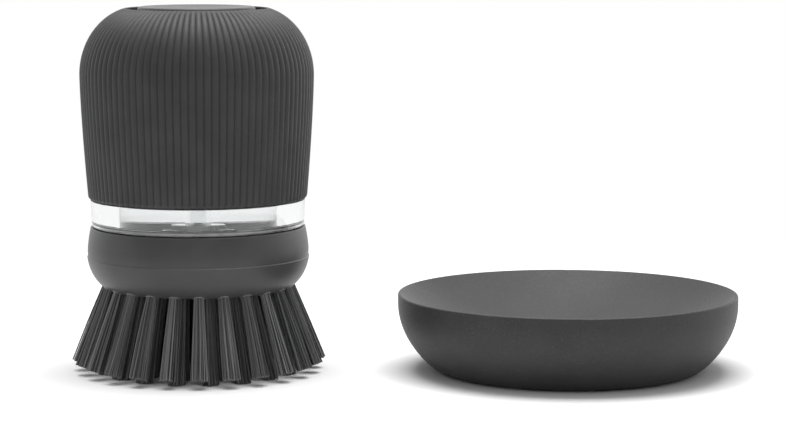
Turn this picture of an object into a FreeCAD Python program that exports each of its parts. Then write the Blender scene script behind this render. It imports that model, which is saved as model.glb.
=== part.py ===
import FreeCAD
import Part
import math
import os

# Palm dish brush that feeds washing-up liquid to its bristles, with the rest dish that belongs to it.
# Millimetres, +Z up. The worktop is Z = 0 and the brush's axis is the Z axis.
# The brush stands on its bristle tips, and the dish stands beside it along +X.

# Clearances and cuts
bond_gap = 0.03
slide_gap = 0.06
closing_gap = 0.2
thread_gap = 0.35
cut_overrun = 5.0

# Brush head: bristle block below the seam, head shell above it
bristle_height = 27.0
block_thickness = 10.1
head_shell_height = 9.35
head_step = 0.65
head_swell = 1.1
head_taper_power = 1.6
waist_rise = 1.7
belly_inset = 10.0
belly_margin = 1.2
head_wall = 2.4
head_plate = 2.0
head_edge_round = 0.6
seam_relief = 0.3
tongue_height = 2.2
tongue_wall = 1.8
nozzle_gap = 0.2
nozzle_ledge_drop = 1.0
outlet_clearance = 0.5

# Bristle tufts, from the outer circle inwards, and the wire plates that anchor them
tuft_names = ("outer_tufts", "second_tufts", "third_tufts", "inner_tufts")
tuft_counts = (24, 18, 12, 8)
tuft_turns = (4.3, 0.5, 18.6, 18.0)
outer_tuft_margin = 0.6
inner_tuft_wall = 0.95
outer_tuft_tilt = 20.0
tuft_radius = 1.7
tuft_tip_radius = 2.9
tuft_hole_gap = 0.05
tuft_hole_depth = 6.5
outer_tip_lift = 2.6
anchor_width = 3.2
anchor_thickness = 0.45
anchor_height = 2.0
anchor_gap = 0.05

# Clear reservoir: tank with its floor and outlet, and the thick window ring bonded round its foot
window_radius = 34.1
window_draft = 0.4
window_height = 8.25
gasket_thickness = 0.4
gasket_rim_width = 6.0
gasket_rim_height = 0.8
tank_standoff = 9.1
tank_wall = 1.6
tank_floor = 1.9
outlet_bore = 5.4
outlet_wall = 1.6
outlet_length = 10.6

# Screw thread between tank and grip, broken into short ridges that let air past
thread_starts = 2
thread_lead = 8.0
ridges_per_turn = 10
ridge_span = 28.0
ridge_depth = 1.2
ridge_thickness = 1.3
ridge_root = 0.4
thread_drop = 2.5

# Valve in the outlet
seat_bore = 2.4
seat_thickness = 2.4
stem_radius = 1.4
stem_rise = 0.4
poppet_radius = 4.4
poppet_thickness = 2.2
poppet_seal_thickness = 0.8
poppet_seal_inset = 0.2
spring_cap_thickness = 1.4
spring_cap_drop = 0.6
cap_notch_count = 6
cap_notch_width = 2.0
cap_notch_depth = 1.5
valve_spring_radius = 3.2
valve_spring_wire = 0.6
valve_spring_turns = 4.5

# Nut that clamps the head shell to the reservoir
nut_rim = 4.0
nut_height = 3.0
nut_notch_count = 8
nut_notch_width = 2.2
nut_notch_depth = 1.4

# Grip: hard shell with a ribbed soft sleeve over it
grip_overhang = 0.6
grip_swell = 2.35
grip_side_height = 39.2
grip_side_power = 1.4
shoulder_reach = 19.05
shoulder_rise = 21.7
grip_edge_round = 1.2
sleeve_thickness = 1.4
shell_wall = 2.0
rib_count = 96
groove_width = 0.9
groove_depth = 0.45
curve_steps = 8

# Button, push rod and their return spring
well_inset = 2.5
well_wall = 2.0
well_depth = 10.7
moat_width = 3.8
button_proud = 0.4
button_thickness = 3.0
button_hollow = 0.9
button_edge_round = 1.1
button_wall = 1.8
button_travel = 4.5
button_bottom_gap = 0.6
boss_wall = 1.9
rod_radius = 2.5
rod_play = 0.3
clip_rim = 1.8
clip_thickness = 0.8
clip_groove_depth = 0.6
clip_mouth = 2.4
button_spring_radius = 7.0
button_spring_wire = 0.9
button_spring_turns = 3.5

# Grip core: closes the tank, guides the rod and floors the button's well
core_plate = 2.2
skirt_wall = 1.8
skirt_length = 17.0
guide_length = 9.0
guide_wall = 1.2
rod_seal_section = 1.5
retainer_thickness = 1.0
collar_gap = 0.4
collar_wall = 0.9
collar_height = 1.0
cap_seal_thickness = 1.8
cap_seal_overlap = 0.8

# Rest dish
dish_distance = 117.9
dish_radius = 54.25
dish_height = 24.7
dish_floor = 7.1
dish_rim_round = 0.6
dish_rim_drop = 3.0
dish_belly_depth = 34.0
dish_foot_round = 2.6

ORIGIN = FreeCAD.Vector(0, 0, 0)
UP = FreeCAD.Vector(0, 0, 1)
OUTWARD = FreeCAD.Vector(1, 0, 0)
ACROSS = FreeCAD.Vector(0, 1, 0)
FULL_TURN = 360

# Radii that follow from the window ring
window_foot_radius = window_radius - window_draft
tank_radius = window_radius - tank_standoff
tank_inside = tank_radius - tank_wall
gasket_radius = tank_radius + gasket_rim_width
outlet_radius = outlet_bore + outlet_wall
head_top_radius = window_foot_radius + head_step
waist_radius = head_top_radius + head_swell
cavity_radius = head_top_radius - head_wall
grip_foot_radius = window_radius + grip_overhang
grip_radius = grip_foot_radius + grip_swell
well_radius = tank_radius - well_inset
button_radius = well_radius - moat_width
skirt_inside = tank_radius + ridge_depth + thread_gap
skirt_radius = skirt_inside + skirt_wall
nozzle_radius = outlet_bore + nozzle_gap
block_bore = outlet_radius + outlet_clearance
tuft_hole_radius = tuft_radius + tuft_hole_gap

# Heights that stack up from the worktop
seam_z = bristle_height + block_thickness
waist_z = seam_z + waist_rise
head_top_z = seam_z + head_shell_height
head_plate_z = head_top_z - head_plate
tank_foot_z = head_top_z + gasket_thickness
tank_floor_z = tank_foot_z + tank_floor
gasket_rim_z = tank_foot_z + gasket_rim_height
outlet_z = tank_foot_z - outlet_length
window_top_z = tank_foot_z + window_height
grip_foot_z = window_top_z + closing_gap
grip_wide_z = grip_foot_z + grip_side_height
belly_drop = waist_z - bristle_height + belly_margin


def at(radius, height):
    return FreeCAD.Vector(radius, 0, height)


def line(start, end):
    return Part.LineSegment(start, end).toShape()


def path(*points):
    return [line(start, end) for start, end in zip(points, points[1:])]


def smooth(points):
    curve = Part.BSplineCurve()
    curve.interpolate(points)
    return curve.toShape()


def bend(start, corner, end):
    curve = Part.BezierCurve()
    curve.setPoles([start, corner, end])
    return curve.toShape()


def lathe(edges):
    return Part.Face(Part.Wire(edges)).revolve(ORIGIN, UP, FULL_TURN)


def turned(*corners):
    points = [at(radius, height) for radius, height in corners]
    return lathe(path(*points, points[0]))


def tube(inside, outside, low, high):
    return turned((inside, low), (outside, low), (outside, high), (inside, high))


def turned_copy(shape, angle):
    copy = shape.copy()
    copy.rotate(ORIGIN, UP, angle)
    return copy


def ring_of(shape, count):
    return [turned_copy(shape, FULL_TURN * index / count) for index in range(count)]


def centred_box(length, width, height):
    box = Part.makeBox(length, width, height)
    box.translate(FreeCAD.Vector(-length / 2, -width / 2, -height / 2))
    return box


def rim_notches(count, width, depth, radius, low, high):
    notch = centred_box(depth * 2, width, (high - low) * 2)
    notch.translate(at(radius, (low + high) / 2))
    return Part.makeCompound(ring_of(notch, count))


# Tangent arcs that carry a coil

def arc_through(start, direction, end, backwards=False):
    chord = end - start
    along = FreeCAD.Vector(chord).normalize()
    side = (direction - along * direction.dot(along)).normalize()
    sagitta = chord.Length / 2 * math.tan(direction.getAngle(chord) / 2)
    middle = start + chord / 2 + side * sagitta
    if backwards:
        return Part.Arc(end, middle, start).toShape()
    return Part.Arc(start, middle, end).toShape()


def biarc(start, start_way, end, end_way):
    chord = end - start
    opening = 1 - start_way.dot(end_way)
    lean = chord.dot(start_way + end_way)
    reach = (math.sqrt(lean * lean + 2 * opening * chord.dot(chord)) - lean) / (2 * opening)
    meeting = (start + start_way * reach + end - end_way * reach) / 2
    return [arc_through(start, start_way, meeting), arc_through(end, end_way * -1, meeting, True)]


def coil(name, radius, wire, turns, low, high):
    """Coil spring of round wire between two seats, as one tube on quarter-turn biarcs."""
    start_z = low + wire / 2 + bond_gap
    climb = high - low - wire - bond_gap * 2
    pitch = climb / turns
    quarters = round(turns * 4)
    points = []
    ways = []
    for index in range(quarters + 1):
        angle = math.pi / 2 * index
        across = radius * math.cos(angle)
        along = radius * math.sin(angle)
        points.append(FreeCAD.Vector(across, along, start_z + climb * index / quarters))
        way = FreeCAD.Vector(-along, across, pitch / (math.pi * 2))
        ways.append(way.normalize())
    edges = []
    for index in range(quarters):
        edges += biarc(points[index], ways[index], points[index + 1], ways[index + 1])
    gaps = [(points[index + 4] - points[index]).Length - wire for index in range(quarters - 3)]
    print(name, "least gap between turns, mm:", round(min(gaps), 2))
    section = Part.Wire(Part.makeCircle(wire / 2, points[0], ways[0]))
    return Part.Wire(edges).makePipeShell([section], True, False)


# Brush head

def head_radius(height):
    """Outside radius of the brush head: a soft taper above its waist and a quarter ellipse below it."""
    if height >= waist_z:
        share = (height - waist_z) / (head_top_z - waist_z)
        return waist_radius - head_swell * share ** head_taper_power
    share = (waist_z - height) / belly_drop
    return waist_radius - belly_inset * (1 - math.sqrt(1 - share * share))


def head_curve(low, high, inset):
    heights = [low + (high - low) * index / curve_steps for index in range(curve_steps + 1)]
    return smooth([at(head_radius(height) - inset, height) for height in heights])


seam_radius = head_radius(seam_z)
tongue_radius = cavity_radius - bond_gap
outer_tuft_circle = head_radius(bristle_height) - outer_tuft_margin
inner_tuft_circle = block_bore + tuft_hole_radius + inner_tuft_wall
ledge_z = outlet_z - nozzle_ledge_drop


def tuft_circle(ring):
    return outer_tuft_circle + (inner_tuft_circle - outer_tuft_circle) * ring / (len(tuft_counts) - 1)


def tuft_tilt(ring):
    return outer_tuft_tilt * tuft_circle(ring) / outer_tuft_circle


def set_in_block(shape, ring):
    """Carries a piece from its hole's frame, mouth at the origin and bristles down, to all its places."""
    placed = shape.copy()
    placed.rotate(ORIGIN, ACROSS, -tuft_tilt(ring))
    placed.translate(at(tuft_circle(ring), bristle_height))
    return ring_of(turned_copy(placed, tuft_turns[ring]), tuft_counts[ring])


def bristle_block():
    belly_top = seam_z - seam_relief
    edges = path(at(nozzle_radius, bristle_height), at(head_radius(bristle_height), bristle_height))
    edges.append(head_curve(bristle_height, belly_top, 0))
    edges += path(
        at(head_radius(belly_top), belly_top),
        at(seam_radius - seam_relief, seam_z),
        at(tongue_radius, seam_z),
        at(tongue_radius, seam_z + tongue_height),
        at(tongue_radius - tongue_wall, seam_z + tongue_height),
        at(tongue_radius - tongue_wall, seam_z),
        at(block_bore, seam_z),
        at(block_bore, ledge_z),
        at(nozzle_radius, ledge_z),
        at(nozzle_radius, bristle_height),
    )
    hole = Part.makeCylinder(tuft_hole_radius, tuft_hole_depth + cut_overrun, at(0, -cut_overrun))
    holes = []
    for ring in range(len(tuft_counts)):
        holes += set_in_block(hole, ring)
    return lathe(edges).cut(Part.makeCompound(holes))


def anchor(gap):
    plate = centred_box(anchor_thickness + gap * 2, anchor_width + gap * 2, anchor_height + gap * 2)
    plate.translate(at(0, tuft_hole_depth - anchor_height))
    return plate


def tufts(ring):
    """One circle of tufts, fanning out from their holes. The outer ones are cut square, the rest level."""
    level = ring > 0
    tip_z = -tuft_tip_radius if level else outer_tip_lift
    reach = (bristle_height - tip_z) / math.cos(math.radians(tuft_tilt(ring)))
    root = tuft_hole_depth - bond_gap
    fan = turned((0, root), (tuft_radius, root), (tuft_radius, 0), (tuft_tip_radius, -reach), (0, -reach))
    placed = set_in_block(fan.cut(anchor(anchor_gap)), ring)
    if not level:
        return Part.makeCompound(placed)
    below = tube(0, waist_radius * 2, -cut_overrun * 2, 0)
    return Part.makeCompound([tuft.cut(below) for tuft in placed])


def tuft_anchors():
    plates = []
    for ring in range(len(tuft_counts)):
        plates += set_in_block(anchor(0), ring)
    return Part.makeCompound(plates)


def head_shell():
    """Upper part of the head. It stands back from the block, whose bevelled edge shows as a fine line."""
    wall_top = head_top_z - head_edge_round
    shoulder = head_radius(wall_top) - seam_relief
    edge_in = at(shoulder - head_edge_round, head_top_z)
    hole = outlet_radius + closing_gap
    edges = path(at(cavity_radius, seam_z), at(seam_radius - seam_relief, seam_z))
    edges.append(head_curve(seam_z, wall_top, seam_relief))
    edges.append(bend(at(shoulder, wall_top), at(shoulder, head_top_z), edge_in))
    edges += path(
        edge_in,
        at(hole, head_top_z),
        at(hole, head_plate_z),
        at(cavity_radius, head_plate_z),
        at(cavity_radius, seam_z),
    )
    return lathe(edges)


def outlet_nut():
    high = head_plate_z - bond_gap
    low = high - nut_height
    inside = outlet_radius + bond_gap
    outside = inside + nut_rim
    notches = rim_notches(nut_notch_count, nut_notch_width, nut_notch_depth, outside, low, high)
    return tube(inside, outside, low, high).cut(notches)


# Grip outline

def grip_points(inset, stop_radius):
    """Meridian of the grip, drawn in by inset, from its foot up over the shoulder to stop_radius."""
    swell = [index / curve_steps for index in range(curve_steps)]
    points = []
    for share in swell:
        radius = grip_radius - inset - grip_swell * (1 - share) ** grip_side_power
        points.append(at(radius, grip_foot_z + grip_side_height * share))
    centre = grip_radius - shoulder_reach
    reach = shoulder_reach - inset
    last = math.acos((stop_radius - centre) / reach)
    for index in range(curve_steps + 1):
        angle = last * index / curve_steps
        radius = centre + reach * math.cos(angle)
        points.append(at(radius, grip_wide_z + (shoulder_rise - inset) * math.sin(angle)))
    return points


grip_top_z = grip_points(0, well_radius)[-1].z
button_top_z = grip_top_z + button_proud
button_under_z = button_top_z - button_thickness
well_floor_z = grip_top_z - well_depth
core_under_z = well_floor_z - core_plate
cap_seal_top_z = core_under_z - bond_gap
mouth_z = cap_seal_top_z - cap_seal_thickness - bond_gap
guide_foot_z = core_under_z - guide_length
rod_bore = rod_radius + slide_gap
gland_radius = rod_bore + rod_seal_section + bond_gap
gland_depth = rod_seal_section + retainer_thickness + bond_gap * 2
clip_top_z = guide_foot_z - closing_gap
stem_top_z = tank_floor_z + stem_rise
rod_foot_z = stem_top_z + rod_play


def rib_grooves(points):
    """Blades that leave the sleeve's ribs standing, one every rib pitch, from its foot to its opening."""
    top = points[-1]
    foot = points[0]
    far_radius = grip_radius + cut_overrun
    edges = [smooth(points)]
    edges += path(
        top,
        at(top.x - cut_overrun, top.z),
        at(top.x - cut_overrun, top.z + cut_overrun),
        at(far_radius, top.z + cut_overrun),
        at(far_radius, foot.z - cut_overrun),
        at(foot.x, foot.z - cut_overrun),
        foot,
    )
    side = ACROSS * groove_width
    blade = Part.Face(Part.Wire(edges)).extrude(side)
    blade.translate(side / -2)
    return Part.makeCompound(ring_of(blade, rib_count))


def grip_sleeve():
    outside = grip_points(0, well_radius)
    inside = grip_points(sleeve_thickness, well_radius)
    foot = outside[0]
    turn_in = at(foot.x - grip_edge_round, foot.z)
    turn_up = outside[1] * (grip_edge_round / (outside[1] - foot).Length)
    turn_up += foot * (1 - grip_edge_round / (outside[1] - foot).Length)
    edges = [bend(turn_in, foot, turn_up), smooth([turn_up] + outside[1:])]
    edges += path(outside[-1], inside[-1])
    edges.append(smooth(inside))
    edges += path(inside[0], turn_in)
    return lathe(edges).cut(rib_grooves(grip_points(groove_depth, well_radius)))


def grip_shell():
    outside = grip_points(sleeve_thickness + bond_gap, well_radius)
    inside = grip_points(sleeve_thickness + bond_gap + shell_wall, well_radius + well_wall)
    well_foot_z = well_floor_z + bond_gap
    edges = [smooth(outside), smooth(inside)]
    edges += path(
        outside[-1],
        at(well_radius, well_foot_z),
        at(well_radius + well_wall, well_foot_z),
        inside[-1],
    )
    edges += path(inside[0], outside[0])
    return lathe(Part.sortEdges(edges)[0])


# Thread

def thread_ridge(inside, outside):
    """One short ridge of the thread, at angle 0 and height 0."""
    height = ridge_thickness * 2
    foot = at(inside, -height)
    section = path(foot, at(outside, -height), at(outside, height), at(inside, height), foot)
    sector = Part.Face(Part.Wire(section)).revolve(ORIGIN, UP, ridge_span)
    sector.rotate(ORIGIN, UP, -ridge_span / 2)
    slab = centred_box(outside * 4, outside * 4, ridge_thickness)
    slope = thread_lead / (math.pi * 2 * tank_radius)
    slab.rotate(ORIGIN, OUTWARD, math.degrees(math.atan(slope)))
    return sector.common(slab)


def thread(ridge, top_z):
    """All ridges of the thread, with the highest one of each start at top_z."""
    ridges = []
    for start in range(thread_starts):
        for index in range(ridges_per_turn):
            placed = turned_copy(ridge, FULL_TURN * (start / thread_starts + index / ridges_per_turn))
            placed.translate(at(0, top_z - thread_lead * (ridges_per_turn - 1 - index) / ridges_per_turn))
            ridges.append(placed)
    return ridges


male_top_z = mouth_z - thread_drop
female_top_z = male_top_z - ridge_thickness - thread_gap


# Reservoir and valve

def reservoir():
    body = turned(
        (outlet_bore, outlet_z),
        (outlet_bore, tank_floor_z),
        (tank_inside, tank_floor_z),
        (tank_inside, mouth_z),
        (tank_radius, mouth_z),
        (tank_radius, tank_foot_z),
        (outlet_radius, tank_foot_z),
        (outlet_radius, outlet_z),
    )
    ridge = thread_ridge(tank_radius - ridge_root, tank_radius + ridge_depth)
    return body.fuse(thread(ridge, male_top_z)).removeSplitter()


def window_ring():
    """Thick clear ring round the tank's foot, rebated for the gasket. It shows as the band under the grip."""
    inside = tank_radius + bond_gap
    rebate = gasket_radius + bond_gap
    return turned(
        (inside, gasket_rim_z),
        (rebate, gasket_rim_z),
        (rebate, tank_foot_z),
        (window_foot_radius, tank_foot_z),
        (window_radius, window_top_z),
        (inside, window_top_z),
    )


def head_gasket():
    """Sheet under the tank's floor with a raised rim under the window ring."""
    hole = outlet_radius + closing_gap
    rim_inside = tank_radius + bond_gap
    return turned(
        (hole, head_top_z),
        (gasket_radius, head_top_z),
        (gasket_radius, gasket_rim_z),
        (rim_inside, gasket_rim_z),
        (rim_inside, tank_foot_z),
        (hole, tank_foot_z),
    )


def valve_seat():
    return tube(seat_bore, outlet_bore - bond_gap, outlet_z, outlet_z + seat_thickness)


poppet_top_z = outlet_z - poppet_seal_thickness - closing_gap / 2
spring_cap_top_z = stem_top_z - spring_cap_drop
spring_cap_z = spring_cap_top_z - spring_cap_thickness


def valve_stem():
    foot_z = poppet_top_z - poppet_thickness
    bevel = poppet_thickness / 2
    return turned(
        (0, foot_z),
        (poppet_radius - bevel, foot_z),
        (poppet_radius, foot_z + bevel),
        (poppet_radius, poppet_top_z),
        (stem_radius, poppet_top_z),
        (stem_radius, stem_top_z),
        (0, stem_top_z),
    )


def poppet_seal():
    return tube(stem_radius + bond_gap, poppet_radius - poppet_seal_inset, poppet_top_z,
                poppet_top_z + poppet_seal_thickness)


def valve_spring_cap():
    outside = outlet_bore - slide_gap
    low = spring_cap_z
    high = spring_cap_top_z
    notches = rim_notches(cap_notch_count, cap_notch_width, cap_notch_depth, outside, low, high)
    return tube(stem_radius + bond_gap, outside, low, high).cut(notches)


def valve_spring():
    return coil("valve_spring", valve_spring_radius, valve_spring_wire, valve_spring_turns,
                outlet_z + seat_thickness, spring_cap_z)


# Button and rod

boss_z = well_floor_z + button_travel + button_bottom_gap
boss_radius = rod_radius + bond_gap + boss_wall


def push_button():
    """Dished cap with a skirt, and a socket underneath that holds the rod."""
    socket = rod_radius + bond_gap
    rim = button_radius - button_edge_round
    inside = button_radius - button_wall
    crown = at(rim - button_edge_round, button_top_z)
    hollow = at(0, button_top_z - button_hollow)
    edges = path(
        at(0, button_under_z), at(socket, button_under_z), at(socket, boss_z), at(boss_radius, boss_z),
        at(boss_radius, button_under_z), at(inside, button_under_z), at(inside, boss_z),
        at(button_radius, boss_z), at(button_radius, button_top_z - button_edge_round),
    )
    edges.append(bend(at(button_radius, button_top_z - button_edge_round), at(button_radius, button_top_z),
                      at(rim, button_top_z)))
    edges += path(at(rim, button_top_z), crown)
    edges.append(bend(crown, at(crown.x / 2, hollow.z), hollow))
    edges += path(hollow, at(0, button_under_z))
    return lathe(edges)


def push_rod():
    groove_top = clip_top_z + bond_gap
    groove_foot = clip_top_z - clip_thickness - bond_gap
    waist = rod_radius - clip_groove_depth
    top = button_under_z - bond_gap
    return turned(
        (0, rod_foot_z), (rod_radius, rod_foot_z), (rod_radius, groove_foot), (waist, groove_foot),
        (waist, groove_top), (rod_radius, groove_top), (rod_radius, top), (0, top),
    )


def rod_clip():
    low = clip_top_z - clip_thickness
    outside = rod_radius + clip_rim
    ring = tube(rod_radius - clip_groove_depth + bond_gap, outside, low, clip_top_z)
    mouth = centred_box(outside * 2, clip_mouth, clip_thickness * 4)
    mouth.translate(at(outside, clip_top_z))
    return ring.cut(mouth)


def button_spring():
    return coil("button_spring", button_spring_radius, button_spring_wire, button_spring_turns,
                well_floor_z, button_under_z)


# Grip core and its seals

def grip_core():
    guide_radius = gland_radius + guide_wall
    gland_top = guide_foot_z + gland_depth
    collar_inside = button_spring_radius + button_spring_wire / 2 + collar_gap
    collar_outside = collar_inside + collar_wall
    collar_top = well_floor_z + collar_height
    skirt_foot = core_under_z - skirt_length
    body = turned(
        (gland_radius, guide_foot_z), (guide_radius, guide_foot_z), (guide_radius, core_under_z),
        (skirt_inside, core_under_z), (skirt_inside, skirt_foot), (skirt_radius, skirt_foot),
        (skirt_radius, well_floor_z), (collar_outside, well_floor_z), (collar_outside, collar_top),
        (collar_inside, collar_top), (collar_inside, well_floor_z), (rod_bore, well_floor_z),
        (rod_bore, gland_top), (gland_radius, gland_top),
    )
    ridge = thread_ridge(skirt_inside - ridge_depth, skirt_inside + ridge_root)
    return body.fuse(thread(ridge, female_top_z)).removeSplitter()


def rod_seal():
    section = rod_seal_section / 2
    ring = Part.makeTorus(rod_bore + section, section)
    ring.translate(at(0, guide_foot_z + retainer_thickness + bond_gap + section))
    return ring


def seal_retainer():
    return tube(rod_bore, gland_radius - bond_gap, guide_foot_z, guide_foot_z + retainer_thickness)


def cap_seal():
    return tube(tank_inside - cap_seal_overlap, tank_radius + cap_seal_overlap,
                cap_seal_top_z - cap_seal_thickness, cap_seal_top_z)


# Rest dish

def dish_belly():
    """Outside of the dish: down from its widest line on a quarter ellipse and round into the flat foot."""
    wide_z = dish_height - dish_rim_drop
    last_share = (wide_z - dish_foot_round) / dish_belly_depth
    points = []
    for index in range(curve_steps + 1):
        share = last_share * index / curve_steps
        points.append(at(dish_radius * math.sqrt(1 - share ** 2), wide_z - dish_belly_depth * share))
    last = points[-1]
    slope = dish_radius * last_share / (dish_belly_depth * math.sqrt(1 - last_share ** 2))
    corner = at(last.x - slope * dish_foot_round, 0)
    foot = at(corner.x - (corner - last).Length, 0)
    return [smooth(points), bend(last, corner, foot)], points[0], foot


def rest_dish():
    """Thick dish. Its hollow is one shallow arc that runs out into a thin rounded rim."""
    belly, widest, foot = dish_belly()
    rim_centre = at(dish_radius - dish_rim_round, dish_height - dish_rim_round)
    rim_out = rim_centre + OUTWARD * dish_rim_round
    floor = at(0, dish_floor)
    depth = rim_centre.z - dish_floor
    hollow_radius = (rim_centre.x ** 2 + depth ** 2 - dish_rim_round ** 2) / (2 * (depth + dish_rim_round))
    hollow_centre = floor + UP * hollow_radius
    lean = (hollow_centre - rim_centre).normalize()
    rim_in = rim_centre + lean * dish_rim_round
    rim_crest = rim_centre + (lean + OUTWARD).normalize() * dish_rim_round
    halfway = hollow_centre - (lean + UP).normalize() * hollow_radius
    edges = path(at(0, 0), floor) + [Part.Arc(floor, halfway, rim_in).toShape()]
    edges.append(Part.Arc(rim_in, rim_crest, rim_out).toShape())
    edges += path(rim_out, widest) + belly + path(foot, at(0, 0))
    dish = lathe(edges)
    dish.translate(OUTWARD * dish_distance)
    return dish


pieces = {
    "bristle_block": bristle_block(),
    "tuft_anchors": tuft_anchors(),
    "head_shell": head_shell(),
    "outlet_nut": outlet_nut(),
    "head_gasket": head_gasket(),
    "reservoir": reservoir(),
    "window_ring": window_ring(),
    "valve_seat": valve_seat(),
    "valve_stem": valve_stem(),
    "poppet_seal": poppet_seal(),
    "valve_spring_cap": valve_spring_cap(),
    "valve_spring": valve_spring(),
    "grip_sleeve": grip_sleeve(),
    "grip_shell": grip_shell(),
    "grip_core": grip_core(),
    "cap_seal": cap_seal(),
    "rod_seal": rod_seal(),
    "seal_retainer": seal_retainer(),
    "push_rod": push_rod(),
    "rod_clip": rod_clip(),
    "push_button": push_button(),
    "button_spring": button_spring(),
    "rest_dish": rest_dish(),
}
for ring, name in enumerate(tuft_names):
    pieces[name] = tufts(ring)

os.makedirs("parts", exist_ok=True)
for name, piece in pieces.items():
    piece.exportStep("parts/" + name + ".step")
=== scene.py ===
import math
import random

import bpy
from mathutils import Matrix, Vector


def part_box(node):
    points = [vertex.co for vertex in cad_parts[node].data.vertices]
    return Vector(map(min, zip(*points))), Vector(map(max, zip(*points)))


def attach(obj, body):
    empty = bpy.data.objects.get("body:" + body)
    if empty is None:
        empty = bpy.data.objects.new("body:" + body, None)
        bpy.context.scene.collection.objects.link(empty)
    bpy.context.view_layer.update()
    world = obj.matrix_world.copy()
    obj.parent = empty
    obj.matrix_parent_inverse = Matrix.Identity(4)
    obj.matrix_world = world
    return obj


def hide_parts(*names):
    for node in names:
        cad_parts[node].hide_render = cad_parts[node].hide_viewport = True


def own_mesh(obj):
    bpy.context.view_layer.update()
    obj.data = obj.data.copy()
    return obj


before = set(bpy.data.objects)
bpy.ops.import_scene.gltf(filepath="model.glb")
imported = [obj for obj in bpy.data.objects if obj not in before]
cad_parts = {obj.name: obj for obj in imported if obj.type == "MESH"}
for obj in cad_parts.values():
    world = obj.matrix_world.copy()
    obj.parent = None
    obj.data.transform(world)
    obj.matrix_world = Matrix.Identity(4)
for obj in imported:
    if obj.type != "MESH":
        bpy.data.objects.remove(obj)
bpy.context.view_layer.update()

# Palm dish brush with a soap tank and its rest dish. Metres, +Z up, worktop at Z = 0, brush axis on Z.
MM = 0.001
GOLDEN_ANGLE = math.pi * (3 - math.sqrt(5))
random.seed(24)

# Grip outline, from its foot to the opening round the button, with the steps that draw it
grip_radius = 37.05 * MM
grip_swell = 2.35 * MM
grip_side_height = 39.2 * MM
grip_side_power = 1.4
shoulder_reach = 19.05 * MM
shoulder_rise = 21.7 * MM
opening_radius = 22.5 * MM
sleeve_thickness = 1.4 * MM
grip_foot_round = 1.2 * MM
opening_round = 0.5 * MM
grip_foot_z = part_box("grip_sleeve")[0].z
outside_steps = (26, 30)
inside_steps = (8, 10)
foot_steps = 6
lip_steps = 5

# Ribs of the grip
rib_count = 96
rib_depth = 0.45 * MM
rib_crown_power = 2.0
rib_column_shares = (-0.5, -0.44, -0.34, -0.18, 0.0, 0.18, 0.34, 0.44)
rib_run_out = 0.3 * MM
rib_crease = 70

# Bristle tufts, from the outer circle inwards. Their turns about the axis and their tilt are in degrees.
tuft_rings = {"outer_tufts": 24, "second_tufts": 18, "third_tufts": 12, "inner_tufts": 8}
tuft_turns = (4.3, 0.5, 18.6, 18.0)
outer_tuft_circle = 29.05 * MM
inner_tuft_circle = 10.2 * MM
outer_tuft_tilt = 20.0
tuft_root_radius = 1.5 * MM
tuft_tip_radius = 2.65 * MM
tuft_root_depth = 2.5 * MM
outer_tip_lift = 2.6 * MM
block_underside_z = 27.0 * MM
waist_radius = 35.45 * MM
waist_z = 38.8 * MM
belly_inset = 10.0 * MM
belly_drop = 13.0 * MM
hole_radius = 1.75 * MM
hole_rim_bead = 0.2 * MM
hole_rim_steps = 32
hole_rim_sides = 8
hole_rim_halvings = 24
filaments_per_tuft = 58
filament_radius = 0.22 * MM
filament_sides = 6
filament_steps = 4
filament_turn_jitter = 0.2
filament_jitter = 0.2 * MM
filament_cut_scatter = 0.14 * MM
level_cut_z = 0.1 * MM
tube_crease = 50

# Coil springs: mean radius, wire, turns, closed end turns, and the steps that draw them
button_spring_radius = 7.0 * MM
button_spring_wire = 0.9 * MM
button_spring_turns = 3.5
valve_spring_radius = 3.2 * MM
valve_spring_wire = 0.6 * MM
valve_spring_turns = 4.5
spring_closed_turns = 0.7
coil_steps_per_turn = 40
wire_sides = 12

# Clear tank with its outlet and the liquid in it, and the window ring bonded round its foot
window_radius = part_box("window_ring")[1].x
window_draft = 0.4 * MM
window_top_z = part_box("window_ring")[1].z
tank_foot_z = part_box("window_ring")[0].z
tank_radius = 25.0 * MM
tank_wall = 1.6 * MM
bond_gap = 0.03 * MM
outlet_bore = 5.4 * MM
outlet_radius = 7.0 * MM
outlet_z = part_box("reservoir")[0].z
mouth_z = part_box("reservoir")[1].z
gasket_radius = 31.0 * MM
gasket_rim_height = 0.8 * MM
wet_contact = 0.02 * MM
liquid_z = 81.2 * MM
rod_room = 2.7 * MM
valve_room_z = 48.7 * MM
clear_edge_round = 0.15 * MM
clear_crease = 4
clear_columns = 240

# Thread ridges on the tank
thread_starts = 2
thread_lead = 8.0 * MM
ridges_per_turn = 10
ridge_span = math.radians(28.0)
ridge_depth = 1.2 * MM
ridge_root = 0.4 * MM
ridge_half_thickness = 0.65 * MM
ridge_steps = 10
thread_top_z = mouth_z - 2.5 * MM


# Materials. Most of the noise behind their patches and their grain lies in these ranges.
patch_range = (0.35, 0.65)
grain_range = (0.3, 0.7)


def srgb(code):
    """Linear colour of an sRGB hex value."""
    shares = [int(code[place:place + 2], 16) / 255 for place in (1, 3, 5)]
    linear = [share / 12.92 if share <= 0.04045 else ((share + 0.055) / 1.055) ** 2.4 for share in shares]
    return (*linear, 1.0)


def feed(tree, socket, value):
    """Gives an input its value or, where the value is an output, the link to it."""
    if isinstance(value, bpy.types.NodeSocket):
        tree.links.new(value, socket)
    else:
        socket.default_value = value


def add(tree, kind, feeds=None, **settings):
    """Adds a node. Feeds are its inputs, each a value or the output that is linked to it."""
    made = tree.nodes.new(kind)
    for name, value in settings.items():
        setattr(made, name, value)
    for socket, value in (feeds or {}).items():
        feed(tree, made.inputs[socket], value)
    return made.outputs


def start_material(name):
    made = bpy.data.materials.new(name)
    made.use_nodes = True
    tree = made.node_tree
    return made, tree, add(tree, "ShaderNodeTexCoord")["Object"]


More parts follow.
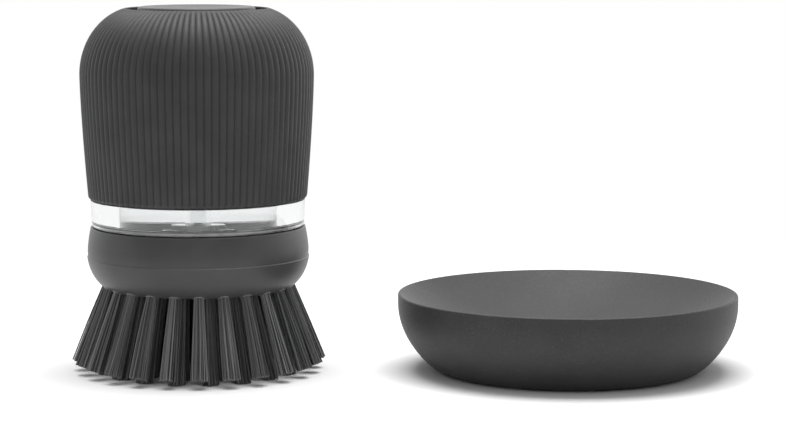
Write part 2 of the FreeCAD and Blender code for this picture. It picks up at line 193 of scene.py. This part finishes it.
def surface(tree, **feeds):
    """Sets the shader's inputs, each a value or an output, by their names with _ for a space."""
    for name, value in feeds.items():
        feed(tree, tree.nodes["Principled BSDF"].inputs[name.replace("_", " ")], value)


def mottled(tree, place, size, low, high):
    """Colour that drifts between two tones over patches of a given size."""
    patches = add(tree, "ShaderNodeTexNoise", {"Vector": place, "Scale": 1 / size, "Detail": 3.0})
    spread = add(tree, "ShaderNodeMapRange", {"Value": patches["Fac"], "From Min": patch_range[0],
                                              "From Max": patch_range[1]})
    return add(tree, "ShaderNodeMix", {0: spread["Result"], 6: srgb(low), 7: srgb(high)}, data_type="RGBA")[2]


def grain(tree, place, size, height):
    """Fine pits and bumps of a given size and height, as a normal and as the noise behind it."""
    noise = add(tree, "ShaderNodeTexNoise", {"Vector": place, "Scale": 1 / size, "Detail": 2.0})
    normal = add(tree, "ShaderNodeBump", {"Height": noise["Fac"], "Distance": height, "Strength": 1.0})
    return normal["Normal"], noise["Fac"]


def varied(tree, noise, low, high):
    """Value that follows a grain's noise from low to high."""
    return add(tree, "ShaderNodeMapRange", {"Value": noise, "From Min": grain_range[0],
                                            "From Max": grain_range[1],
                                            "To Min": low, "To Max": high})["Result"]


def soft_touch_elastomer():
    """Elastomer overmould, matt from a blasted mould: charcoal, with painted shade that darkens the grooves
    between the ribs.
    """
    made, tree, place = start_material("soft_touch_elastomer_moulded")
    body = mottled(tree, place, 9 * MM, "#303031", "#363637")
    # Painted shade: the crown mark darkens the colour towards the bottom of each groove.
    crown = add(tree, "ShaderNodeAttribute", attribute_name="crown")["Fac"]
    groove = add(tree, "ShaderNodeMapRange", {"Value": crown, "From Min": 0.0, "From Max": 0.5})["Result"]
    colour = add(tree, "ShaderNodeMix", {0: groove, 6: srgb("#2d2d2e"), 7: body}, data_type="RGBA")[2]
    # The blasted texture is about 0.1 mm, drawn at 0.5 mm so that it shows at this distance.
    normal, noise = grain(tree, place, 0.5 * MM, 0.012 * MM)
    surface(tree, Base_Color=colour, Normal=normal, Roughness=varied(tree, noise, 0.5, 0.62),
            Specular_IOR_Level=0.35, IOR=1.5)
    return made


def satin_polypropylene(name, low, high, rough, gloss=0.4):
    """Polypropylene moulded in a satin-etched tool: an even low sheen that brightens at grazing angles."""
    made, tree, place = start_material(name)
    colour = mottled(tree, place, 14 * MM, low, high)
    # The etched texture is about 0.08 mm, drawn at 0.45 mm so that it shows at this distance.
    normal, noise = grain(tree, place, 0.45 * MM, 0.008 * MM)
    surface(tree, Base_Color=colour, Normal=normal, Roughness=varied(tree, noise, rough - 0.05, rough + 0.05),
            Specular_IOR_Level=gloss, IOR=1.49)
    return made


def matt_dish_polypropylene():
    """Mineral-filled polypropylene with a fine stone-like tooth, matt inside and out."""
    made, tree, place = start_material("mineral_filled_polypropylene_moulded")
    body = mottled(tree, place, 18 * MM, "#2e2e2f", "#343435")
    # The mineral specks are about 0.1 mm, drawn at 0.6 mm so that they show at this distance.
    specks = add(tree, "ShaderNodeTexNoise", {"Vector": place, "Scale": 1 / (0.6 * MM), "Detail": 3.0})["Fac"]
    light = add(tree, "ShaderNodeMapRange", {"Value": specks, "From Min": 0.55, "From Max": 0.8,
                                             "To Max": 0.3})["Result"]
    colour = add(tree, "ShaderNodeMix", {0: light, 6: body, 7: srgb("#5c5c5d")}, data_type="RGBA")[2]
    normal, noise = grain(tree, place, 0.55 * MM, 0.02 * MM)
    surface(tree, Base_Color=colour, Normal=normal, Roughness=varied(tree, noise, 0.5, 0.6),
            Specular_IOR_Level=0.32, IOR=1.5)
    return made


def clear_polycarbonate():
    """Clear polycarbonate moulded in a polished tool: water-clear, glossy, with the slightest waviness."""
    made, tree, place = start_material("clear_polycarbonate_moulded")
    # Flow waves in the wall are about 5 mm long and stay under 0.02 mm high.
    normal, noise = grain(tree, place, 5 * MM, 0.02 * MM)
    surface(tree, Base_Color=mottled(tree, place, 12 * MM, "#f6f7f7", "#fbfcfc"), Normal=normal,
            Roughness=varied(tree, noise, 0.01, 0.05), Transmission_Weight=1.0, IOR=1.585)
    return made


def natural_acetal():
    """Uncoloured acetal as moulded: milky white, waxy, light carries a little way into it."""
    made, tree, place = start_material("natural_acetal_moulded")
    normal, noise = grain(tree, place, 0.6 * MM, 0.006 * MM)
    surface(tree, Base_Color=mottled(tree, place, 6 * MM, "#e2e1dc", "#ecebe7"), Normal=normal,
            Roughness=varied(tree, noise, 0.28, 0.4), IOR=1.48, Subsurface_Weight=0.25,
            Subsurface_Radius=(1.5 * MM, 1.4 * MM, 1.3 * MM), Subsurface_Scale=1.0)
    return made


def moulded_silicone():
    """Uncoloured silicone rubber, pressed: hazy, soft sheen, a trace of grey."""
    made, tree, place = start_material("translucent_silicone_pressed")
    normal, noise = grain(tree, place, 0.5 * MM, 0.01 * MM)
    surface(tree, Base_Color=mottled(tree, place, 4 * MM, "#cfcfcd", "#dcdcda"), Normal=normal,
            Roughness=varied(tree, noise, 0.42, 0.55), Transmission_Weight=0.35, IOR=1.41)
    return made


def grey_seal_rubber():
    """Grey rubber, pressed. Wet against the clear plastic it has no sheen, only its own mottled grey."""
    made, tree, place = start_material("grey_rubber_pressed")
    normal, noise = grain(tree, place, 0.4 * MM, 0.01 * MM)
    surface(tree, Base_Color=mottled(tree, place, 5 * MM, "#9a9a99", "#b6b6b4"), Normal=normal,
            Roughness=varied(tree, noise, 0.6, 0.72), Specular_IOR_Level=0.0, IOR=1.5)
    return made


def drawn_steel_wire():
    """Stainless steel, drawn or rolled: bright, broken up by faint draw marks."""
    made, tree, place = start_material("stainless_steel_drawn")
    # Draw marks are about 0.02 mm wide, drawn at 0.2 mm so that they show at this distance.
    normal, noise = grain(tree, place, 0.2 * MM, 0.004 * MM)
    surface(tree, Base_Color=mottled(tree, place, 2 * MM, "#b9b8b5", "#c9c8c6"), Normal=normal,
            Roughness=varied(tree, noise, 0.2, 0.34), Metallic=1.0)
    return made


def nylon_filament():
    """Drawn nylon filament, dyed charcoal: a narrow gloss along each one, and no two quite the same tone."""
    made, tree, place = start_material("dyed_nylon_filament_drawn")
    shade = add(tree, "ShaderNodeAttribute", attribute_name="shade")["Fac"]
    colour = add(tree, "ShaderNodeMix", {0: shade, 6: srgb("#3c3c3d"), 7: srgb("#767677")},
                 data_type="RGBA")[2]
    normal, noise = grain(tree, place, 0.8 * MM, 0.01 * MM)
    surface(tree, Base_Color=colour, Normal=normal, Roughness=varied(tree, noise, 0.36, 0.5),
            Specular_IOR_Level=0.4, IOR=1.53)
    return made


def cut_nylon_end():
    """Trimmed end of a nylon filament: the bare cut is paler and duller than the drawn skin."""
    made, tree, place = start_material("dyed_nylon_filament_cut")
    normal, noise = grain(tree, place, 0.2 * MM, 0.02 * MM)
    surface(tree, Base_Color=mottled(tree, place, 0.7 * MM, "#6c6c6c", "#8e8e8d"), Normal=normal,
            Roughness=varied(tree, noise, 0.6, 0.75), IOR=1.53)
    return made


# Meshes

def make_piece(name, corners, faces, material, sharp_angle=40):
    mesh = bpy.data.meshes.new(name)
    mesh.from_pydata(corners, [], faces)
    mesh.shade_smooth()
    mesh.set_sharp_from_angle(angle=math.radians(sharp_angle))
    piece = bpy.data.objects.new(name, mesh)
    bpy.context.scene.collection.objects.link(piece)
    mesh.materials.append(material)
    return piece


def mark_points(piece, name, values):
    attribute = piece.data.attributes.new(name, "FLOAT", "POINT")
    attribute.data.foreach_set("value", values)


def seat(piece, body, slot, *nodes):
    """Puts a piece on its body, in place of the nodes that it stands for. The slot of its finish is not used.
    """
    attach(piece, body)
    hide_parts(*nodes)


def bend(start, corner, end, steps):
    """Quadratic curve from start to end, drawn towards corner, without its last point."""
    points = []
    for index in range(steps):
        share = index / steps
        points.append(start * (1 - share) ** 2 + corner * (2 * share * (1 - share)) + end * share ** 2)
    return points


def rounded(corners, radius, steps=4):
    """Closed outline with each corner turned into a short curve that takes less than half of each side."""
    side_share = 0.45
    outline = []
    for index, corner in enumerate(corners):
        before = corners[index - 1]
        after = corners[(index + 1) % len(corners)]
        reach_in = min(radius, (before - corner).length * side_share)
        reach_out = min(radius, (after - corner).length * side_share)
        start = corner + (before - corner).normalized() * reach_in
        end = corner + (after - corner).normalized() * reach_out
        outline += bend(start, corner, end, steps) + [end]
    return outline


def ring_faces(rows, columns, closed_rows):
    """Quads of a grid of rows and columns that closes round its columns."""
    faces = []
    for row in range(rows if closed_rows else rows - 1):
        following = (row + 1) % rows
        for column in range(columns):
            beside = (column + 1) % columns
            faces.append((row * columns + column, row * columns + beside,
                          following * columns + beside, following * columns + column))
    return faces


def swept_faces(first, rows, size):
    """Faces of a section of some size that is swept in rows from corner first on, with both ends closed."""
    last = first + (rows - 1) * size
    faces = [tuple(first + corner for corner in face) for face in ring_faces(rows, size, False)]
    faces.append(tuple(first + step for step in reversed(range(size))))
    faces.append(tuple(last + step for step in range(size)))
    return faces


def spun(outline, columns):
    """Corners and faces of a closed outline of (radius, height) turned round the Z axis."""
    corners = []
    for point in outline:
        for column in range(columns):
            angle = math.tau * column / columns
            corners.append((point.x * math.cos(angle), point.x * math.sin(angle), point.y))
    return corners, ring_faces(len(outline), columns, True)


def tube_along(path, radius, sides, corners, faces):
    """Adds a round tube with closed ends along a path to a mesh that is being listed."""
    steep = 0.9
    first = len(corners)
    for index, point in enumerate(path):
        way = (path[min(index + 1, len(path) - 1)] - path[max(index - 1, 0)]).normalized()
        side = way.cross(Vector((0, 0, 1)) if abs(way.z) < steep else Vector((1, 0, 0))).normalized()
        other = way.cross(side)
        for step in range(sides):
            angle = math.tau * step / sides
            corners.append(point + side * (radius * math.cos(angle)) + other * (radius * math.sin(angle)))
    faces += swept_faces(first, len(path), sides)


# Grip sleeve

def grip_meridian(inset, stop_radius, side_steps, shoulder_steps):
    """Meridian of the grip, drawn in by inset, from its foot over the shoulder to stop_radius."""
    points = []
    for index in range(side_steps):
        share = index / side_steps
        radius = grip_radius - inset - grip_swell * (1 - share) ** grip_side_power
        points.append(Vector((radius, grip_foot_z + grip_side_height * share)))
    centre = grip_radius - shoulder_reach
    reach = shoulder_reach - inset
    last = math.acos((stop_radius - centre) / reach)
    wide_z = grip_foot_z + grip_side_height
    for index in range(shoulder_steps + 1):
        angle = last * index / shoulder_steps
        height = wide_z + (shoulder_rise - inset) * math.sin(angle)
        points.append(Vector((centre + reach * math.cos(angle), height)))
    return points


def sleeve_outline():
    """Closed section of the sleeve, with the share of the rib depth that each of its points takes."""
    outside = grip_meridian(0, opening_radius + opening_round, *outside_steps)
    lip_z = grip_meridian(0, opening_radius, *inside_steps)[-1].y
    foot = outside[0]
    above = foot + (outside[1] - foot).normalized() * grip_foot_round
    turn_in = Vector((foot.x - grip_foot_round, foot.y))
    lip_foot = Vector((opening_radius, lip_z - opening_round))
    inside = grip_meridian(sleeve_thickness, opening_radius, *inside_steps)
    foot_curve = bend(turn_in, foot, above, foot_steps)
    side = [above] + [point for point in outside if point.y > above.y]
    lip = bend(side[-1], Vector((opening_radius, lip_z)), lip_foot, lip_steps)[1:] + [lip_foot]
    points = foot_curve + side + lip + inside[::-1]
    shares = [index / len(foot_curve) for index in range(len(foot_curve))]
    shares += [min((point - side[-1]).length / rib_run_out, 1.0) for point in side]
    shares += [0.0] * (len(lip) + len(inside))
    return points, shares


def grip_sleeve(material):
    """Soft skin of the dome with its ribs, rounded on top and creased between."""
    points, shares = sleeve_outline()
    columns = []
    for rib in range(rib_count):
        for share in rib_column_shares:
            columns.append(((rib + 0.5 + share) * math.tau / rib_count, abs(share * 2) ** rib_crown_power))
    corners = []
    crowns = []
    for index, point in enumerate(points):
        along = points[(index + 1) % len(points)] - points[index - 1]
        outward = Vector((along.y, -along.x)).normalized()
        for angle, groove in columns:
            placed = point - outward * (rib_depth * shares[index] * groove)
            corners.append((placed.x * math.cos(angle), placed.x * math.sin(angle), placed.y))
            crowns.append(1 - groove * shares[index])
    faces = ring_faces(len(points), len(columns), True)
    piece = make_piece("ribbed_sleeve", corners, faces, material, rib_crease)
    # The crown mark steers the painted shade in the grooves of the elastomer.
    mark_points(piece, "crown", crowns)
    seat(piece, "grip", "grip_rubber", "grip_sleeve")


# Bristles

def tuft_frame(circle, tilt, angle):
    """Mouth of a tuft's hole, the way its bristles point, and two ways across it."""
    outward = Vector((math.cos(angle), math.sin(angle), 0))
    way = outward * math.sin(tilt) - Vector((0, 0, math.cos(tilt)))
    tangent = Vector((-math.sin(angle), math.cos(angle), 0))
    return outward * circle + Vector((0, 0, block_underside_z)), way, tangent, way.cross(tangent)


def filament_path(mouth, way, tangent, across, index, cut_square):
    """One filament: straight in its hole, then fanning out to the trimmed end of its tuft."""
    share = math.sqrt((index + 0.5) / filaments_per_tuft)
    angle = index * GOLDEN_ANGLE + random.uniform(-filament_turn_jitter, filament_turn_jitter)
    spoke = tangent * math.cos(angle) + across * math.sin(angle)
    reach = (block_underside_z - outer_tip_lift) / -way.z
    stray = tangent * random.uniform(-filament_jitter, filament_jitter)
    stray += across * random.uniform(-filament_jitter, filament_jitter)
    root = mouth + spoke * (tuft_root_radius * share)
    tip = mouth + way * reach + spoke * (tuft_tip_radius * share) + stray
    fan = tip - root
    scatter = random.uniform(0, filament_cut_scatter)
    if cut_square:
        end_share = 1 - scatter / reach
    else:
        end_share = (root.z - level_cut_z - scatter) / -fan.z
    bow = tangent * random.uniform(-filament_jitter, filament_jitter)
    bow += across * random.uniform(-filament_jitter, filament_jitter)
    path = [root - way * tuft_root_depth]
    for step in range(filament_steps + 1):
        along = end_share * step / filament_steps
        path.append(root + fan * along + bow * math.sin(math.pi * step / filament_steps))
    return path


def bristle_ring(ring, name, count, drawn, cut):
    circle = outer_tuft_circle + (inner_tuft_circle - outer_tuft_circle) * ring / (len(tuft_rings) - 1)
    tilt = math.radians(outer_tuft_tilt * circle / outer_tuft_circle)
    corners = []
    faces = []
    shades = []
    for tuft in range(count):
        angle = math.radians(tuft_turns[ring]) + math.tau * tuft / count
        mouth, way, tangent, across = tuft_frame(circle, tilt, angle)
        for index in range(filaments_per_tuft):
            path = filament_path(mouth, way, tangent, across, index, ring == 0)
            tube_along(path, filament_radius, filament_sides, corners, faces)
            shades += [random.random()] * (len(corners) - len(shades))
    piece = make_piece(name.replace("tufts", "filaments"), corners, faces, drawn, tube_crease)
    piece.data.materials.append(cut)
    for face in piece.data.polygons:
        face.material_index = 1 if face.loop_total == filament_sides else 0
    mark_points(piece, "shade", shades)
    seat(piece, "brush", "bristles", name)


def hole_rim_point(mouth, way, spoke):
    """Point of a tuft hole's edge on the block: on its level underside or, further out, on its belly."""
    low = 0.0
    high = belly_drop / 2
    foot = mouth + spoke * hole_radius
    for _ in range(hole_rim_halvings):
        rise = (low + high) / 2
        point = foot - way * rise
        share = (waist_z - point.z) / belly_drop
        if point.xy.length > waist_radius - belly_inset * (1 - math.sqrt(1 - share * share)):
            low = rise
        else:
            high = rise
    return foot - way * high


def hole_rims(material):
    """Fine raised edge that drilling leaves round each hole of the outer circle."""
    corners = []
    faces = []
    tilt = math.radians(outer_tuft_tilt)
    count = tuft_rings["outer_tufts"]
    for tuft in range(count):
        place = math.radians(tuft_turns[0]) + math.tau * tuft / count
        mouth, way, tangent, across = tuft_frame(outer_tuft_circle, tilt, place)
        rim = []
        for step in range(hole_rim_steps + 1):
            angle = math.tau * step / hole_rim_steps
            rim.append(hole_rim_point(mouth, way, tangent * math.cos(angle) + across * math.sin(angle)))
        tube_along(rim, hole_rim_bead, hole_rim_sides, corners, faces)
    piece = make_piece("tuft_hole_rims", corners, faces, material, tube_crease)
    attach(piece, "brush")


# Springs

def coil_spring(name, node, body, radius, wire, turns, material):
    """Coil of round wire with its end turns closed."""
    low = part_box(node)[0].z
    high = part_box(node)[1].z
    closed_share = spring_closed_turns / turns
    steps = round(turns * coil_steps_per_turn)
    path = []
    for step in range(steps + 1):
        share = step / steps
        climb = min(max((share - closed_share) / (1 - closed_share * 2), 0), 1)
        angle = math.tau * turns * share
        height = low + wire / 2 + (high - low - wire) * climb
        path.append(Vector((radius * math.cos(angle), radius * math.sin(angle), height)))
    corners = []
    faces = []
    tube_along(path, wire / 2, wire_sides, corners, faces)
    piece = make_piece(name, corners, faces, material, tube_crease)
    seat(piece, body, "steel", node)
    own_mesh(piece)


# Clear tank

def tank_ridges(corners, faces):
    """Short ridges of the screw thread round the tank's mouth."""
    slope = thread_lead / (math.tau * tank_radius)
    low_radius = tank_radius - ridge_root
    high_radius = tank_radius + ridge_depth
    half = ridge_half_thickness
    section = rounded([Vector((low_radius, -half)), Vector((high_radius, -half)), Vector((high_radius, half)),
                       Vector((low_radius, half))], ridge_root, steps=2)
    for start in range(thread_starts):
        for index in range(ridges_per_turn):
            middle = math.tau * (start / thread_starts + index / ridges_per_turn)
            drop = thread_lead * (ridges_per_turn - 1 - index) / ridges_per_turn
            first = len(corners)
            for step in range(ridge_steps + 1):
                turn = ridge_span * (step / ridge_steps - 0.5)
                rise = thread_top_z - drop + tank_radius * math.sin(turn) * slope
                for point in section:
                    corners.append((point.x * math.cos(middle + turn), point.x * math.sin(middle + turn),
                                    rise + point.y))
            faces += swept_faces(first, ridge_steps + 1, len(section))


def clear_body(section):
    """Turned clear body with its edges rounded. It sits a hair into the gasket, as a wetted face does."""
    corners, faces = spun(rounded([Vector(point) for point in section], clear_edge_round), clear_columns)
    return corners, [face[::-1] for face in faces]


def filled_tank(material):
    """Tank and the clear liquid in it as one body, open round the rod and the valve."""
    wall_inside = tank_radius - tank_wall
    wet_z = tank_foot_z - wet_contact
    corners, faces = clear_body([
        (outlet_bore, outlet_z), (outlet_bore, valve_room_z), (rod_room, valve_room_z), (rod_room, liquid_z),
        (wall_inside, liquid_z), (wall_inside, mouth_z), (tank_radius, mouth_z), (tank_radius, wet_z),
        (outlet_radius, wet_z), (outlet_radius, outlet_z),
    ])
    tank_ridges(corners, faces)
    piece = make_piece("filled_tank", corners, faces, material, clear_crease)
    seat(piece, "brush", "clear_plastic", "reservoir")


def clear_window(material):
    """Thick ring round the tank's foot, rebated for the gasket's rim."""
    inside = tank_radius + bond_gap
    rebate = gasket_radius + bond_gap
    wet_z = tank_foot_z + gasket_rim_height - wet_contact
    corners, faces = clear_body([
        (inside, wet_z), (inside, window_top_z), (window_radius, window_top_z),
        (window_radius - window_draft, tank_foot_z), (rebate, tank_foot_z), (rebate, wet_z),
    ])
    piece = make_piece("clear_window", corners, faces, material, clear_crease)
    seat(piece, "brush", "clear_plastic", "window_ring")


# Finishes of the CAD nodes that are shown as they are

def dress(material, *nodes):
    for name in nodes:
        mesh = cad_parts[name].data
        mesh.materials.clear()
        mesh.materials.append(material)


# Studio. The camera is fitted to the photograph, with its focal length in the photograph's pixels.

photo_width = 786
focal_length = 2685.4
sensor_width = 36.0
camera_place = Vector((64.3, -849.9, 149.8)) * MM
camera_pitch = math.radians(6.9)
camera_turn = math.radians(0.149)
set_middle = Vector((60, 0, 0)) * MM
floor_reach = 6.0
shadow_reach = 0.18
plain_white_from = 0.4
softbox_place = Vector((0.06, 0.08, 1.0))
softbox_width = 0.8
softbox_depth = 0.6
softbox_watts = 12.2

# Light of the room: its fill, and what reflections find at its front, its back and its right
room_fill = 0.57
room_front_y = -0.5
room_front_light = 0.25
room_back_y = 0.7
room_back_light = 1.4
room_right_gain = 1.7


def seen_directly(tree):
    """One for what the camera sees, itself or in a reflection or through the clear tank."""
    rays = add(tree, "ShaderNodeLightPath")
    mirrored = add(tree, "ShaderNodeMath", {0: rays["Is Camera Ray"], 1: rays["Is Glossy Ray"]},
                   operation="MAXIMUM")[0]
    return add(tree, "ShaderNodeMath", {0: mirrored, 1: rays["Is Transmission Ray"]}, operation="MAXIMUM")[0]


def studio_floor():
    """White painted table. Close to the object it holds the shadow, further off it is plain white."""
    made, tree, place = start_material("white_painted_table")
    paint = add(tree, "ShaderNodeBsdfDiffuse", {"Color": srgb("#f4f4f4")})[0]
    far = add(tree, "ShaderNodeEmission", {"Color": srgb("#ffffff"), "Strength": 1.0})[0]
    distance = add(tree, "ShaderNodeVectorMath", {0: place, 1: set_middle}, operation="DISTANCE")["Value"]
    fade = add(tree, "ShaderNodeMapRange", {"Value": distance, "From Min": shadow_reach,
                                            "From Max": plain_white_from},
               interpolation_type="SMOOTHSTEP")["Result"]
    shown = add(tree, "ShaderNodeMixShader", {0: fade, 1: paint, 2: far})[0]
    table = add(tree, "ShaderNodeMixShader", {0: seen_directly(tree), 1: paint, 2: shown})[0]
    feed(tree, tree.nodes["Material Output"].inputs["Surface"], table)
    tree.nodes.remove(tree.nodes["Principled BSDF"])
    made.cycles.emission_sampling = "NONE"
    corners = [(x * floor_reach, y * floor_reach, 0) for x, y in ((-1, -1), (1, -1), (1, 1), (-1, 1))]
    floor = make_piece("table", corners, [(0, 1, 2, 3)], made)


def studio_world():
    """White room, seen as white. Reflections find its front end darker and its right side brighter."""
    world = bpy.data.worlds.new("white_room")
    bpy.context.scene.world = world
    world.use_nodes = True
    tree = world.node_tree
    rays = add(tree, "ShaderNodeLightPath")
    way = add(tree, "ShaderNodeSeparateXYZ", {0: add(tree, "ShaderNodeTexCoord")["Generated"]})
    depth = add(tree, "ShaderNodeMapRange", {"Value": way["Y"],
                                             "From Min": room_front_y, "From Max": room_back_y,
                                             "To Min": room_front_light, "To Max": room_back_light})["Result"]
    right = add(tree, "ShaderNodeMapRange", {"Value": way["X"], "To Min": 1.0,
                                             "To Max": room_right_gain})["Result"]
    mirrored = add(tree, "ShaderNodeMath", {0: depth, 1: right}, operation="MULTIPLY")[0]
    lit = add(tree, "ShaderNodeMix", {0: rays["Is Glossy Ray"], 2: room_fill, 3: mirrored})[0]
    seen = add(tree, "ShaderNodeMath", {0: rays["Is Camera Ray"], 1: rays["Is Transmission Ray"]},
               operation="MAXIMUM")[0]
    strength = add(tree, "ShaderNodeMix", {0: seen, 2: lit, 3: 1.0})[0]
    feed(tree, tree.nodes["Background"].inputs["Strength"], strength)
    feed(tree, tree.nodes["Background"].inputs["Color"], srgb("#ffffff"))


def studio_light():
    """One wide softbox overhead, turned to the middle of the set."""
    lamp = bpy.data.lights.new("overhead_softbox", "AREA")
    lamp.shape = "RECTANGLE"
    lamp.size = softbox_width
    lamp.size_y = softbox_depth
    lamp.energy = softbox_watts
    holder = bpy.data.objects.new("overhead_softbox", lamp)
    holder.location = softbox_place
    holder.rotation_euler = (set_middle - softbox_place).to_track_quat("-Z", "Y").to_euler()
    bpy.context.scene.collection.objects.link(holder)


def studio_camera():
    lens = bpy.data.cameras.new("photo_camera")
    lens.sensor_width = sensor_width
    lens.lens = focal_length * sensor_width / photo_width
    holder = bpy.data.objects.new("photo_camera", lens)
    holder.location = camera_place
    holder.rotation_euler = (math.pi / 2 - camera_pitch, 0, camera_turn)
    bpy.context.scene.collection.objects.link(holder)
    bpy.context.scene.camera = holder


# Assembly

steel = drawn_steel_wire()
drawn_nylon = nylon_filament()
cut_nylon = cut_nylon_end()
head_finish = satin_polypropylene("satin_polypropylene_moulded", "#3a3a3b", "#404041", 0.42)
grip_finish = satin_polypropylene("satin_polypropylene_grip_moulded", "#3a3a3b", "#404041", 0.45)
# The edge of a hole is painted paler than the moulded face round it, a painted highlight, and given a
# glossier finish.
painted_rim_highlight = satin_polypropylene("satin_polypropylene_painted_rim_highlight", "#6c6c6d", "#7c7c7d", 0.35)
button_finish = satin_polypropylene("satin_polypropylene_button_moulded", "#3e3e3f", "#444445", 0.45, 0.3)

grip_sleeve(soft_touch_elastomer())
for ring, (name, count) in enumerate(tuft_rings.items()):
    bristle_ring(ring, name, count, drawn_nylon, cut_nylon)
hole_rims(painted_rim_highlight)
coil_spring("button_return_spring", "button_spring", "grip",
            button_spring_radius, button_spring_wire, button_spring_turns, steel)
coil_spring("valve_closing_spring", "valve_spring", "brush",
            valve_spring_radius, valve_spring_wire, valve_spring_turns, steel)
clear_plastic = clear_polycarbonate()
filled_tank(clear_plastic)
clear_window(clear_plastic)

dress(clear_plastic, "push_rod")
dress(head_finish, "head_shell", "bristle_block")
dress(grip_finish, "grip_shell", "grip_core")
dress(button_finish, "push_button")
dress(matt_dish_polypropylene(), "rest_dish")
dress(natural_acetal(), "outlet_nut", "valve_stem", "valve_spring_cap", "seal_retainer")
dress(grey_seal_rubber(), "head_gasket")
dress(moulded_silicone(), "valve_seat", "poppet_seal", "cap_seal", "rod_seal")
dress(steel, "tuft_anchors", "rod_clip")

studio_floor()
studio_world()
studio_light()
studio_camera()
bpy.context.scene.view_settings.view_transform = "Standard"
